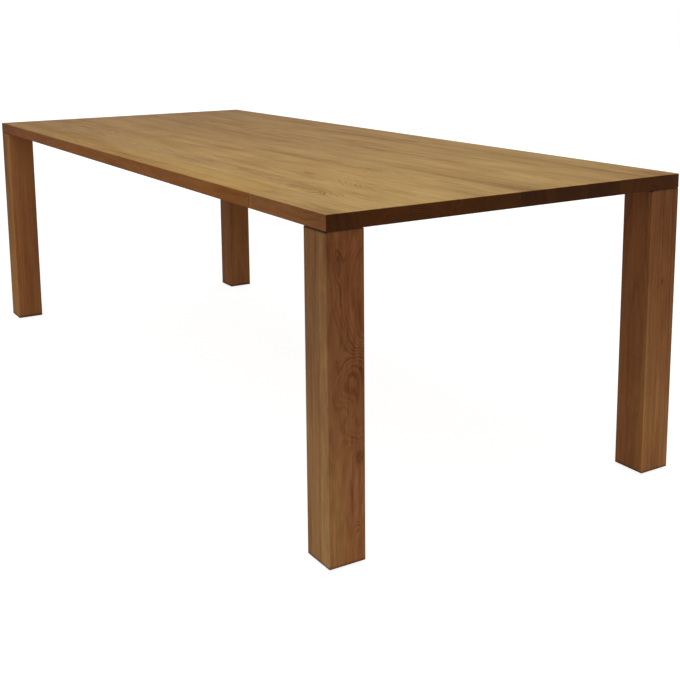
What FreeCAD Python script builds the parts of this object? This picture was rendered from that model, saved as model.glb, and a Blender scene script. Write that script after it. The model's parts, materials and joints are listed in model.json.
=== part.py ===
import FreeCAD, Part
import enum
import math
import os
from collections import namedtuple

import Sketcher

# Oak dining table: a top of edge-glued staves on four square legs that stand flush with its corners.
# Sizes are in millimetres. X runs along the table, Y across it and Z up, from the floor under its middle.

SIZES = {
    # Top
    "top_length": 2400,
    "top_width": 1000,
    "top_thickness": 35,
    "top_arris": 2,
    "stave_count": 10,
    # Glued finger joint in the front stave, measured from the right-hand end
    "finger_joint_distance": 331,
    "finger_length": 15,
    "finger_count": 16,
    "finger_tip": 0.8,
    # Legs, each glued up from lamellae
    "leg_length": 715,
    "leg_size": 90,
    "leg_arris": 2.5,
    "lamella_count": 3,
    # Steel plate on each leg, let into the underside of the top
    "plate_inset": 20,
    "plate_overhang": 60,
    "plate_thickness": 5,
    "plate_corner": 8,
    # Countersunk screws from the plate into the end grain of the leg
    "leg_screw_margin": 17,
    "leg_screw_diameter": 7,
    "leg_screw_length": 70,
    "leg_screw_head": 13,
    "leg_screw_socket": 4,
    "leg_screw_socket_depth": 2.5,
    # Button-head bolts, washers and threaded inserts that hold the plates
    "plate_bolt_margin": 20,
    "plate_bolt_diameter": 8,
    "plate_bolt_length": 20,
    "plate_bolt_head": 14,
    "plate_bolt_head_height": 4.4,
    "plate_bolt_socket": 5,
    "plate_bolt_socket_depth": 2.6,
    "plate_washer_diameter": 16,
    "plate_washer_thickness": 1.6,
    "plate_insert_diameter": 13,
    "plate_insert_length": 16,
    # Steel channels across the underside, let in flush
    "channel_end_distance": 400,
    "channel_length": 780,
    "channel_width": 60,
    "channel_height": 15,
    "channel_wall": 3,
    "channel_slot_length": 16,
    "channel_fixing_margin": 45,
    "channel_fixing_count": 4,
    # Button-head bolts, washers and threaded inserts that hold the channels
    "channel_bolt_diameter": 6,
    "channel_bolt_length": 16,
    "channel_bolt_head": 10.5,
    "channel_bolt_head_height": 3.3,
    "channel_bolt_socket": 4,
    "channel_bolt_socket_depth": 2,
    "channel_washer_diameter": 18,
    "channel_washer_thickness": 1.6,
    "channel_insert_diameter": 10,
    "channel_insert_length": 13,
    # Rim and lip of every button head
    "button_rim": 1.2,
    "button_lip": 1.5,
    # Nylon glides under the legs and their screws
    "glide_diameter": 40,
    "glide_thickness": 5,
    "glide_chamfer": 1.5,
    "glide_recess": 1,
    "glide_screw_diameter": 4,
    "glide_screw_length": 30,
    "glide_screw_head": 8,
    "glide_screw_socket": 2.5,
    "glide_screw_socket_depth": 1.6,
    # Fits
    "bore_clearance": 0.1,
    "bolt_clearance": 0.5,
    "inlay_clearance": 0.5,
}

# Each corner: its name, the signs of its X and Y, and the angle of its own frame about Z in radians
Corner = namedtuple("Corner", "name sign_x sign_y angle")
CORNER_SIGNS = (
    ("front_left", "-", "-"),
    ("front_right", "", "-"),
    ("back_right", "", ""),
    ("back_left", "-", ""),
)
CORNERS = [Corner(*signs, turn * math.pi / 2) for turn, signs in enumerate(CORNER_SIGNS)]
HALF_TURN = math.degrees(math.pi)
FULL_TURN = math.degrees(2 * math.pi)

# Each channel's name and its place along X
CHANNEL_REACH = "(Sizes.top_length / 2 - Sizes.channel_end_distance)"
CHANNELS = (("left", f"-{CHANNEL_REACH}"), ("middle", "0"), ("right", CHANNEL_REACH))

# Blocks that divide or cut the wood overshoot it by the thickness of the top
OVERSHOOT = "Sizes.top_thickness"

# Levels and distances that several pieces share, as expressions on the sheet
FOOT = "Sizes.glide_thickness"
UNDERSIDE = "(Sizes.glide_thickness + Sizes.leg_length)"
POCKET_ROOF = f"({UNDERSIDE} + Sizes.plate_thickness)"
RECESS_ROOF = f"({UNDERSIDE} + Sizes.channel_wall)"
STAVE_WIDTH = "(Sizes.top_width / Sizes.stave_count)"
LAMELLA_WIDTH = "(Sizes.leg_size / Sizes.lamella_count)"
PLATE_END = "(Sizes.leg_size + Sizes.plate_overhang)"
FIXING_RUN = "(Sizes.channel_length - 2 * Sizes.channel_fixing_margin)"

# Spots in a corner's own frame, as distances from the outer corner along its two edges
SCREW_NEAR = "(Sizes.plate_inset + Sizes.leg_screw_margin)"
SCREW_FAR = "(Sizes.leg_size - Sizes.leg_screw_margin)"
SCREW_SPOTS = [(along, across) for along in (SCREW_NEAR, SCREW_FAR) for across in (SCREW_NEAR, SCREW_FAR)]
BOLT_NEAR = "(Sizes.plate_inset + Sizes.plate_bolt_margin)"
BOLT_FAR = f"({PLATE_END} - Sizes.plate_bolt_margin)"
BOLT_BETWEEN = f"(({BOLT_NEAR} + {BOLT_FAR}) / 2)"
BOLT_SPOTS = [
    (BOLT_FAR, BOLT_NEAR),
    (BOLT_FAR, BOLT_BETWEEN),
    (BOLT_FAR, BOLT_FAR),
    (BOLT_BETWEEN, BOLT_FAR),
    (BOLT_NEAR, BOLT_FAR),
]

doc = FreeCAD.newDocument("dining_table")
sheet = doc.addObject("Spreadsheet::Sheet", "Sizes")
for row, (alias, value) in enumerate(SIZES.items(), start=1):
    sheet.set(f"A{row}", alias)
    sheet.set(f"B{row}", str(value))
    sheet.setAlias(f"B{row}", alias)
doc.recompute()

# Places


def place(obj, x, y, z):
    """Bind the position of an object to three expressions."""
    for axis, expression in zip("xyz", (x, y, z)):
        obj.setExpression(f"Placement.Base.{axis}", expression)


def corner_point(corner, along, across):
    """Give the X and Y expressions of a spot in a corner's own frame."""
    cosine = round(math.cos(corner.angle))
    sine = round(math.sin(corner.angle))
    x = f"{corner.sign_x}Sizes.top_length / 2 + ({cosine}) * ({along}) - ({sine}) * ({across})"
    y = f"{corner.sign_y}Sizes.top_width / 2 + ({sine}) * ({along}) + ({cosine}) * ({across})"
    return x, y


def place_in_corner(obj, corner, along, across, z):
    """Turn an object into a corner's own frame and bind its position there."""
    turn = FreeCAD.Rotation(FreeCAD.Vector(0, 0, 1), math.degrees(corner.angle))
    obj.Placement = FreeCAD.Placement(FreeCAD.Vector(), turn)
    place(obj, *corner_point(corner, along, across), z)


# Sketches


class End(enum.IntEnum):
    """The points of a line or an arc in a sketch."""

    START = 1
    FINISH = 2
    CENTRE = 3


class Axis(enum.IntEnum):
    """The axes of a sketch, which start at its origin."""

    HORIZONTAL = -1
    VERTICAL = -2


def measure(expression):
    """Give the value of an expression on the sheet."""
    return sheet.evalExpression(expression)


def flat_point(x, y):
    """Give a point of a sketch from two values."""
    return FreeCAD.Vector(x, y, 0)


def new_sketch(body, name, plane="XY_Plane", level="0"):
    """Start a sketch on one of the body's own planes, raised to a level."""
    sketch = body.newObject("Sketcher::SketchObject", name)
    support = next(feature for feature in body.Origin.OriginFeatures if feature.Role == plane)
    sketch.AttachmentSupport = [(support, "")]
    sketch.MapMode = "FlatFace"
    sketch.setExpression("AttachmentOffset.Base.z", level)
    return sketch


def bind(sketch, constraint, expression):
    """Add a dimension to a sketch and tie it to an expression."""
    index = sketch.addConstraint(constraint)
    name = f"size_{index}"
    sketch.renameConstraint(index, name)
    sketch.setExpression(f"Constraints.{name}", expression)


def fix_point(sketch, geometry, end, x, y):
    """Hold one point of a sketch at two expressions, or on an axis where one is zero."""
    origin = (Axis.HORIZONTAL, End.START)
    for kind, expression, axis in (("DistanceX", x, Axis.VERTICAL), ("DistanceY", y, Axis.HORIZONTAL)):
        if expression == "0":
            sketch.addConstraint(Sketcher.Constraint("PointOnObject", geometry, end, axis))
        else:
            constraint = Sketcher.Constraint(kind, *origin, geometry, end, measure(expression))
            bind(sketch, constraint, expression)


def draw_outline(sketch, points):
    """Draw a closed outline of straight lines through points given as pairs of expressions."""
    count = len(points)
    spots = [flat_point(measure(x), measure(y)) for x, y in points]
    for index in range(count):
        sketch.addGeometry(Part.LineSegment(spots[index], spots[(index + 1) % count]), False)
    for index in range(count):
        following = (index + 1) % count
        sketch.addConstraint(Sketcher.Constraint("Coincident", index, End.FINISH, following, End.START))
    for index, (x, y) in enumerate(points):
        fix_point(sketch, index, End.START, x, y)


def draw_rectangle(sketch, left, right, low, high):
    """Draw a rectangle between four expressions."""
    draw_outline(sketch, [(left, low), (right, low), (right, high), (left, high)])


def draw_circle(sketch, x, y, diameter):
    """Draw a circle whose centre and diameter are expressions."""
    across = measure(diameter)
    circle = Part.Circle(flat_point(measure(x), measure(y)), FreeCAD.Vector(0, 0, 1), across / 2)
    index = sketch.addGeometry(circle, False)
    fix_point(sketch, index, End.CENTRE, x, y)
    bind(sketch, Sketcher.Constraint("Diameter", index, across), diameter)


def draw_slot(sketch, low, high, radius):
    """Draw a slot along the Y axis between two centres: half circles joined by straight sides."""
    reach = measure(radius)
    bottom = measure(low)
    top = measure(high)
    up = FreeCAD.Vector(0, 0, 1)
    lower = Part.Circle(flat_point(0, bottom), up, reach)
    upper = Part.Circle(flat_point(0, top), up, reach)
    outline = (
        Part.ArcOfCircle(lower, math.pi, 2 * math.pi),
        Part.LineSegment(flat_point(reach, bottom), flat_point(reach, top)),
        Part.ArcOfCircle(upper, 0, math.pi),
        Part.LineSegment(flat_point(-reach, top), flat_point(-reach, bottom)),
    )
    ring = [sketch.addGeometry(side, False) for side in outline]
    for geometry, following in zip(ring, ring[1:] + ring[:1]):
        sketch.addConstraint(Sketcher.Constraint("Tangent", geometry, End.FINISH, following, End.START))
    lower_arc, _, upper_arc, _ = ring
    sketch.addConstraint(Sketcher.Constraint("Equal", lower_arc, upper_arc))
    fix_point(sketch, lower_arc, End.CENTRE, "0", low)
    fix_point(sketch, upper_arc, End.CENTRE, "0", high)
    bind(sketch, Sketcher.Constraint("Radius", lower_arc, reach), radius)


# Solids


def new_body(label):
    """Start a body with its own label."""
    body = doc.addObject("PartDesign::Body", label)
    body.Label = label
    return body


def pad(body, sketch, length):
    """Raise a sketch by a length."""
    feature = body.newObject("PartDesign::Pad", f"{sketch.Name}_pad")
    feature.Profile = sketch
    feature.setExpression("Length", length)
    doc.recompute()
    return feature


def pocket(body, sketch, depth):
    """Cut a sketch upwards into the body, to a depth."""
    volume = body.Shape.Volume
    feature = body.newObject("PartDesign::Pocket", f"{sketch.Name}_pocket")
    feature.Profile = sketch
    feature.Reversed = True
    feature.setExpression("Length", depth)
    doc.recompute()
    if not feature.Shape.Volume < volume:
        raise RuntimeError(f"{feature.Name} cuts nothing")
    return feature


def repeat_along_y(body, feature, sketch, run, count):
    """Repeat a feature along the Y axis of its sketch."""
    pattern = body.newObject("PartDesign::LinearPattern", f"{feature.Name}_row")
    pattern.Originals = [feature]
    pattern.Direction = (sketch, ["V_Axis"])
    pattern.setExpression("Length", run)
    pattern.setExpression("Occurrences", count)
    body.Tip = pattern


def turned_body(label, profile):
    """Turn a closed profile of radius and height about the Z axis."""
    body = new_body(label)
    sketch = new_sketch(body, f"{label}_profile", "XZ_Plane")
    draw_outline(sketch, profile)
    feature = body.newObject("PartDesign::Revolution", f"{label}_turning")
    feature.Profile = sketch
    feature.ReferenceAxis = (sketch, ["V_Axis"])
    feature.Angle = FULL_TURN
    doc.recompute()
    return body


def edges_of(feature, wanted):
    """Name the edges of a feature that pass a test."""
    return [f"Edge{number}" for number, edge in enumerate(feature.Shape.Edges, start=1) if wanted(edge)]


def is_upright(edge):
    """Tell a straight edge that runs up the piece."""
    return edge.BoundBox.ZLength > max(edge.BoundBox.XLength, edge.BoundBox.YLength)


def ease_all_edges(body, feature, radius):
    """Ease every edge of a wooden blank."""
    fillet = body.newObject("PartDesign::Fillet", f"{body.Name}_arris")
    fillet.Base = (feature, [""])
    fillet.UseAllEdges = True
    fillet.setExpression("Radius", radius)


def round_upright_edges(body, feature, radius):
    """Round the upright corners of a plate or pocket."""
    fillet = body.newObject("PartDesign::Fillet", f"{body.Name}_corners")
    fillet.Base = (feature, edges_of(feature, is_upright))
    fillet.setExpression("Radius", radius)
    doc.recompute()


def new_block(name, length, width, height):
    """Make a plain block from three expressions."""
    block = doc.addObject("Part::Box", name)
    for side, expression in (("Length", length), ("Width", width), ("Height", height)):
        block.setExpression(side, expression)
    return block


def combine(kind, label, base, tool):
    """Combine two objects with a boolean of the given kind."""
    result = doc.addObject(f"Part::{kind}", label)
    result.Label = label
    result.Base = base
    result.Tool = tool
    return result


def merge(label, shapes):
    """Join several cutters into one."""
    result = doc.addObject("Part::MultiFuse", label)
    result.Shapes = shapes
    return result


def bores(name, points, diameter, low, high):
    """Make upright drills at X and Y expressions, between two levels."""
    drills = []
    for x, y in points:
        drill = doc.addObject("Part::Cylinder", name)
        drill.setExpression("Radius", f"{diameter} / 2 + Sizes.bore_clearance")
        drill.setExpression("Height", f"{high} - ({low})")
        place(drill, x, y, low)
        drills.append(drill)
    return drills


def group(label, master, points, level, tilt=0):
    """Make one node of identical pieces at X and Y expressions, on a common level, tilted about X."""
    copies = []
    for x, y in points:
        copy = doc.addObject("App::Link", f"{label}_copy")
        copy.LinkedObject = master
        copy.Placement = FreeCAD.Placement(FreeCAD.Vector(), FreeCAD.Rotation(FreeCAD.Vector(1, 0, 0), tilt))
        place(copy, x, y, level)
        copies.append(copy)
    result = doc.addObject("Part::Compound", label)
    result.Label = label
    result.Links = copies
    return result


def divided(label, whole, count, slab_of):
    """Saw a glued-up piece into its boards: slab_of gives the block that each board comes from."""
    return [combine("Common", f"{label}{index + 1}", whole, slab_of(index)) for index in range(count)]


def slab_edges(index, count, width):
    """Give where a board starts and how wide its block is, past the outer faces on the outer boards."""
    before = OVERSHOOT if index == 0 else "0"
    after = OVERSHOOT if index == count - 1 else "0"
    return f"{index} * {width} - {before}", f"{width} + {before} + {after}"


# Fasteners, each modelled once about its own axis and pointing up


def cut_socket(body, across_flats, depth, level):
    """Cut a hexagon socket upwards from a level of the body."""
    corner = f"{across_flats} / sqrt(3)"
    half_corner = f"{corner} / 2"
    half_flat = f"{across_flats} / 2"
    right = [(half_corner, f"-{half_flat}"), (corner, "0"), (half_corner, half_flat)]
    left = [(f"-{half_corner}", half_flat), (f"-{corner}", "0"), (f"-{half_corner}", f"-{half_flat}")]
    sketch = new_sketch(body, f"{body.Name}_socket", level=level)
    draw_outline(sketch, right + left)
    pocket(body, sketch, depth)


def button_bolt(family):
    """Make a button-head bolt with its seat at zero."""
    shank = f"Sizes.{family}_bolt_diameter / 2"
    head = f"Sizes.{family}_bolt_head / 2"
    length = f"Sizes.{family}_bolt_length"
    head_bottom = f"-Sizes.{family}_bolt_head_height"
    socket = f"Sizes.{family}_bolt_socket"
    body = turned_body(f"{family}_bolt_master", [
        ("0", head_bottom),
        (f"{socket} / sqrt(3) + Sizes.button_lip", head_bottom),
        (head, "-Sizes.button_rim"),
        (head, "0"),
        (shank, "0"),
        (shank, length),
        ("0", length),
    ])
    cut_socket(body, socket, f"Sizes.{family}_bolt_socket_depth", head_bottom)
    return body


def washer(family):
    """Make a flat washer whose upper face is at zero."""
    bore = f"Sizes.{family}_bolt_diameter / 2 + Sizes.bolt_clearance"
    rim = f"Sizes.{family}_washer_diameter / 2"
    bottom = f"-Sizes.{family}_washer_thickness"
    return turned_body(f"{family}_washer_master", [(bore, bottom), (rim, bottom), (rim, "0"), (bore, "0")])


def threaded_insert(family):
    """Make a threaded insert that starts at zero."""
    bore = f"Sizes.{family}_bolt_diameter / 2 + Sizes.bore_clearance"
    outside = f"Sizes.{family}_insert_diameter / 2"
    end = f"Sizes.{family}_insert_length"
    return turned_body(f"{family}_insert_master", [(bore, "0"), (outside, "0"), (outside, end), (bore, end)])


def countersunk_screw(family):
    """Make a countersunk wood screw with the flat of its head at zero."""
    shank = f"Sizes.{family}_screw_diameter / 2"
    head = f"Sizes.{family}_screw_head / 2"
    length = f"Sizes.{family}_screw_length"
    body = turned_body(f"{family}_screw_master", [
        ("0", "0"),
        (head, "0"),
        (shank, f"{head} - {shank}"),
        (shank, f"{length} - Sizes.{family}_screw_diameter"),
        ("0", length),
    ])
    cut_socket(body, f"Sizes.{family}_screw_socket", f"Sizes.{family}_screw_socket_depth", "0")
    return body


def bolt_seat(family):
    """Give the level of a bolt's seat, under its washer."""
    return f"{UNDERSIDE} - Sizes.{family}_washer_thickness"


def bolt_bore_top(family, insert_start):
    """Give the level that a bolt's bore reaches: the end of its insert or of the bolt."""
    insert_end = f"{insert_start} + Sizes.{family}_insert_length"
    bolt_end = f"{bolt_seat(family)} + Sizes.{family}_bolt_length"
    return f"max({insert_end}; {bolt_end})"


# Places of the fasteners

leg_screw_points = {
    corner: [corner_point(corner, *spot) for spot in SCREW_SPOTS] for corner in CORNERS
}
plate_bolt_points = [corner_point(corner, *spot) for corner in CORNERS for spot in BOLT_SPOTS]
glide_points = {
    corner: corner_point(corner, "Sizes.leg_size / 2", "Sizes.leg_size / 2") for corner in CORNERS
}
channel_bolt_points = [
    (x, f"{FIXING_RUN} * ({index} / (Sizes.channel_fixing_count - 1) - 1 / 2)")
    for _, x in CHANNELS
    for index in range(SIZES["channel_fixing_count"])
]

# Steel leg plates


def leg_plate(corner):
    """Make the plate over one leg, with plain bolt holes and countersunk screw holes."""
    label = f"leg_plate_{corner.name}"
    body = new_body(label)
    outline = new_sketch(body, f"{label}_outline")
    draw_rectangle(outline, "Sizes.plate_inset", PLATE_END, "Sizes.plate_inset", PLATE_END)
    round_upright_edges(body, pad(body, outline, "Sizes.plate_thickness"), "Sizes.plate_corner")

    bolt_holes = new_sketch(body, f"{label}_bolt_holes")
    for along, across in BOLT_SPOTS:
        draw_circle(bolt_holes, along, across, "Sizes.plate_bolt_diameter + 2 * Sizes.bolt_clearance")
    pocket(body, bolt_holes, "Sizes.plate_thickness")

    screw_hole = "Sizes.leg_screw_diameter + 2 * Sizes.bore_clearance"
    screw_holes = new_sketch(body, f"{label}_screw_holes")
    for along, across in SCREW_SPOTS:
        draw_circle(screw_holes, along, across, screw_hole)
    drilled = pocket(body, screw_holes, "Sizes.plate_thickness")

    radius = measure(screw_hole) / 2
    upper_face = measure("Sizes.plate_thickness")
    tolerance = measure("Sizes.bore_clearance") / 2

    def is_upper_rim(edge):
        """Tell the upper edge of a screw hole."""
        if edge.Curve.TypeId != "Part::GeomCircle":
            return False
        at_upper_face = abs(edge.Curve.Center.z - upper_face) < tolerance
        return at_upper_face and abs(edge.Curve.Radius - radius) < tolerance

    countersink = body.newObject("PartDesign::Chamfer", f"{label}_countersink")
    countersink.Base = (drilled, edges_of(drilled, is_upper_rim))
    countersink.setExpression("Size", f"(Sizes.leg_screw_head - ({screw_hole})) / 2")
    place_in_corner(body, corner, "0", "0", UNDERSIDE)
    return body


def plate_pocket(corner):
    """Make the cutter that lets one plate into the underside."""
    label = f"plate_pocket_{corner.name}"
    body = new_body(label)
    outline = new_sketch(body, f"{label}_outline", level=f"-{OVERSHOOT}")
    low = "Sizes.plate_inset - Sizes.inlay_clearance"
    high = f"{PLATE_END} + Sizes.inlay_clearance"
    draw_rectangle(outline, low, high, low, high)
    cutter = pad(body, outline, f"Sizes.plate_thickness + {OVERSHOOT}")
    round_upright_edges(body, cutter, "Sizes.plate_corner + Sizes.inlay_clearance")
    place_in_corner(body, corner, "0", "0", UNDERSIDE)
    return body


# Steel channels


def channel_section(clearance, bottom):
    """Give the section of a channel that opens upwards, widened by a clearance."""
    outer = f"Sizes.channel_width / 2 + {clearance}"
    inner = f"Sizes.channel_width / 2 - Sizes.channel_wall - {clearance}"
    crest = f"Sizes.channel_height + {clearance}"
    right = [(outer, bottom), (outer, crest), (inner, crest), (inner, "Sizes.channel_wall")]
    left = [(f"-({x})", y) for x, y in reversed(right)]
    return right + left


def channel_bar(label, x, section, length):
    """Run a channel section across the table, half its length to each side."""
    body = new_body(label)
    sketch = new_sketch(body, f"{label}_section", "XZ_Plane")
    draw_outline(sketch, section)
    pad(body, sketch, length).Midplane = True
    place(body, x, "0", UNDERSIDE)
    doc.recompute()
    return body


def channel(name, x):
    """Make one channel, with slots that let the wood move across its grain."""
    label = f"channel_{name}"
    body = channel_bar(label, x, channel_section("0", "0"), "Sizes.channel_length")
    radius = "Sizes.channel_bolt_diameter / 2 + Sizes.bolt_clearance"
    half_run = f"(Sizes.channel_slot_length / 2 - ({radius}))"
    slot = new_sketch(body, f"{label}_slot")
    draw_slot(slot, f"-{FIXING_RUN} / 2 - {half_run}", f"-{FIXING_RUN} / 2 + {half_run}", radius)
    first = pocket(body, slot, "Sizes.channel_wall")
    repeat_along_y(body, first, slot, FIXING_RUN, "Sizes.channel_fixing_count")
    return body


def channel_recess(name, x):
    """Make the cutter that lets one channel into the underside."""
    section = channel_section("Sizes.inlay_clearance", f"-{OVERSHOOT}")
    length = "Sizes.channel_length + 2 * Sizes.inlay_clearance"
    return channel_bar(f"channel_recess_{name}", x, section, length)


# Top


def top_panel():
    """Make the glued-up top with eased edges, machined from below."""
    body = new_body("top_panel")
    outline = new_sketch(body, "top_outline")
    half_length = "Sizes.top_length / 2"
    half_width = "Sizes.top_width / 2"
    draw_rectangle(outline, f"-{half_length}", half_length, f"-{half_width}", half_width)
    ease_all_edges(body, pad(body, outline, "Sizes.top_thickness"), "Sizes.top_arris")
    place(body, "0", "0", UNDERSIDE)

    below = f"{UNDERSIDE} - {OVERSHOOT}"
    cutters = [plate_pocket(corner) for corner in CORNERS]
    cutters += [channel_recess(*spot) for spot in CHANNELS]
    for family, points, roof in (
        ("plate", plate_bolt_points, POCKET_ROOF),
        ("channel", channel_bolt_points, RECESS_ROOF),
    ):
        bore_top = bolt_bore_top(family, roof)
        cutters += bores(f"{family}_bore", points, f"Sizes.{family}_insert_diameter", below, bore_top)
    return combine("Cut", "machined_top", body, merge("top_machining", cutters))


def stave_slab(index):
    """Make the block that one stave comes from, past the outer faces of the top."""
    start, width = slab_edges(index, SIZES["stave_count"], STAVE_WIDTH)
    slab = new_block(
        "stave_slab",
        f"Sizes.top_length + 2 * {OVERSHOOT}",
        width,
        f"Sizes.top_thickness + 2 * {OVERSHOOT}",
    )
    place(
        slab,
        f"-Sizes.top_length / 2 - {OVERSHOOT}",
        f"-Sizes.top_width / 2 + {start}",
        f"{UNDERSIDE} - {OVERSHOOT}",
    )
    return slab


def finger_block():
    """Make the block of the front stave's short length, with a row of fingers on its end."""
    body = new_body("finger_block")
    height = f"Sizes.top_thickness + 2 * {OVERSHOOT}"
    blank = new_sketch(body, "finger_blank")
    far = f"Sizes.finger_joint_distance + {OVERSHOOT}"
    draw_rectangle(blank, "0", far, f"-{OVERSHOOT}", f"{STAVE_WIDTH} + {OVERSHOOT}")
    pad(body, blank, height)

    pitch = f"({STAVE_WIDTH} / Sizes.finger_count)"
    finger = new_sketch(body, "finger_outline")
    draw_outline(finger, [
        ("0", "Sizes.finger_tip / 2"),
        ("0", f"{pitch} - Sizes.finger_tip / 2"),
        ("-Sizes.finger_length", f"{pitch} / 2 + Sizes.finger_tip / 2"),
        ("-Sizes.finger_length", f"{pitch} / 2 - Sizes.finger_tip / 2"),
    ])
    run = f"{STAVE_WIDTH} - {pitch}"
    repeat_along_y(body, pad(body, finger, height), finger, run, "Sizes.finger_count")
    place(
        body,
        "Sizes.top_length / 2 - Sizes.finger_joint_distance",
        "-Sizes.top_width / 2",
        f"{UNDERSIDE} - {OVERSHOOT}",
    )
    return body


def top_staves():
    """Divide the machined top into staves, and the front one into its two finger-jointed lengths."""
    front, *others = divided("top_stave_", top_panel(), SIZES["stave_count"], stave_slab)
    fingers = finger_block()
    long_length = combine("Cut", f"{front.Label}_long", front, fingers)
    short_length = combine("Common", f"{front.Label}_short", front, fingers)
    return [long_length, short_length, *others]


# Legs


def leg_lamellae(corner):
    """Make one leg: an eased and drilled blank, divided into its lamellae."""
    label = f"leg_{corner.name}"
    body = new_body(f"{label}_blank")
    outline = new_sketch(body, f"{label}_outline")
    draw_rectangle(outline, "0", "Sizes.leg_size", "0", "Sizes.leg_size")
    ease_all_edges(body, pad(body, outline, "Sizes.leg_length"), "Sizes.leg_arris")
    place_in_corner(body, corner, "0", "0", FOOT)

    above = f"{UNDERSIDE} + {OVERSHOOT}"
    below = f"{FOOT} - {OVERSHOOT}"
    screw_end = f"{POCKET_ROOF} - Sizes.leg_screw_length"
    glide_screw_end = "Sizes.glide_recess + Sizes.glide_screw_length"
    top_points = leg_screw_points[corner]
    foot_points = [glide_points[corner]]
    drills = bores(f"{label}_top_bore", top_points, "Sizes.leg_screw_diameter", screw_end, above)
    drills += bores(f"{label}_foot_bore", foot_points, "Sizes.glide_screw_diameter", below, glide_screw_end)
    drilled = combine("Cut", f"{label}_drilled", body, merge(f"{label}_drilling", drills))

    def lamella_slab(index):
        """Make the block that one lamella comes from."""
        start, width = slab_edges(index, SIZES["lamella_count"], LAMELLA_WIDTH)
        slab = new_block(
            f"{label}_slab",
            f"Sizes.leg_size + 2 * {OVERSHOOT}",
            width,
            f"Sizes.leg_length + 2 * {OVERSHOOT}",
        )
        place_in_corner(slab, corner, f"-{OVERSHOOT}", start, below)
        return slab

    return divided(f"{label}_lamella_", drilled, SIZES["lamella_count"], lamella_slab)


# Glides


def glide(corner):
    """Make one glide: a nylon disc with an eased sole and a sunk seat for its screw."""
    rim = "Sizes.glide_diameter / 2"
    head = "Sizes.glide_screw_head / 2"
    bore = "Sizes.glide_screw_diameter / 2 + Sizes.bore_clearance"
    body = turned_body(f"glide_{corner.name}", [
        (head, "0"),
        (f"{rim} - Sizes.glide_chamfer", "0"),
        (rim, "Sizes.glide_chamfer"),
        (rim, "Sizes.glide_thickness"),
        (bore, "Sizes.glide_thickness"),
        (bore, f"Sizes.glide_recess + {head} - ({bore})"),
        (head, "Sizes.glide_recess"),
    ])
    place(body, *glide_points[corner], "0")
    return body


# Assembly

nodes = top_staves()
for table_corner in CORNERS:
    nodes += leg_lamellae(table_corner)
    nodes += [leg_plate(table_corner), glide(table_corner)]
nodes += [channel(*channel_spot) for channel_spot in CHANNELS]
all_leg_screw_points = [point for points in leg_screw_points.values() for point in points]
nodes += [
    group("leg_screws", countersunk_screw("leg"), all_leg_screw_points, POCKET_ROOF, tilt=HALF_TURN),
    group("plate_bolts", button_bolt("plate"), plate_bolt_points, bolt_seat("plate")),
    group("plate_washers", washer("plate"), plate_bolt_points, UNDERSIDE),
    group("plate_inserts", threaded_insert("plate"), plate_bolt_points, POCKET_ROOF),
    group("channel_bolts", button_bolt("channel"), channel_bolt_points, bolt_seat("channel")),
    group("channel_washers", washer("channel"), channel_bolt_points, UNDERSIDE),
    group("channel_inserts", threaded_insert("channel"), channel_bolt_points, RECESS_ROOF),
    group("glide_screws", countersunk_screw("glide"), list(glide_points.values()), "Sizes.glide_recess"),
]
doc.recompute()

# Check every object, then write the pieces

for obj in doc.Objects:
    if "Invalid" in obj.State or "Error" in obj.State:
        raise RuntimeError(f"{obj.Name} failed: {obj.State}")
for node in nodes:
    if node.Shape.isNull() or not node.Shape.isValid():
        raise RuntimeError(f"{node.Label} has no sound shape")

os.makedirs("parts", exist_ok=True)
for node in nodes:
    node.Shape.exportStep(f"parts/{node.Label}.step")
    print(node.Label, len(node.Shape.Solids), round(node.Shape.Volume), node.Shape.BoundBox)
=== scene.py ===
# %% [markdown]
# # An oak dining table, dressed for its portrait
#
# The table is a thick oak top of ten glued staves on four square legs that stand flush with its corners.
# Under the top are the steel plates that hold the legs, and the channels that keep the top flat.
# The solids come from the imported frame, in metres and in their real places, so this lesson never moves
# one. It gives every board its own grain, makes the small turned parts with Geometry Nodes, and sets up
# the light.

# %% Load the frame
import json
import math
from collections import namedtuple
from functools import partial

import bmesh
import bpy
from mathutils import Matrix, Vector


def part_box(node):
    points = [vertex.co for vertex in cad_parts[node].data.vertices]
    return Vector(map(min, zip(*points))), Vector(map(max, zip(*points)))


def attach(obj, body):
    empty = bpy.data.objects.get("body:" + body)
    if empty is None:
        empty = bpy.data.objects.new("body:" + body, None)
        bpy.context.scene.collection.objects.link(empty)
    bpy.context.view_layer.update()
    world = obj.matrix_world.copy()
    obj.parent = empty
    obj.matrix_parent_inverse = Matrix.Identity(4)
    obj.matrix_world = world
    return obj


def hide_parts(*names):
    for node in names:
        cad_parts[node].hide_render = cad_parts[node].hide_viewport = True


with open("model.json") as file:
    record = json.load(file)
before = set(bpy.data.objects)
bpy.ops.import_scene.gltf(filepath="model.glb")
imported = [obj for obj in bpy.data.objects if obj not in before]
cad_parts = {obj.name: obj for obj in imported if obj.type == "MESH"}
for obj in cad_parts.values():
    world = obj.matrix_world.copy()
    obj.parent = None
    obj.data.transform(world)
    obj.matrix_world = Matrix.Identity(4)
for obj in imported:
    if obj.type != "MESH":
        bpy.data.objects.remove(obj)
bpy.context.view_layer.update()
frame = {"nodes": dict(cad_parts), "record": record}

nodes = frame["nodes"]
slot_of = {row["node"]: row["material_slot"] for row in frame["record"]["subparts"]}


# %% [markdown]
# ## The camera
#
# The picture was taken from beyond the near end, over towards the front and a little above the top. Its
# frame reaches further down than up from the lens's axis. A camera can be aimed with a constraint or by
# hand. Here its axes are worked out from a bearing, a height angle and a small roll, because that keeps
# the upright edges where the picture has them.

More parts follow.
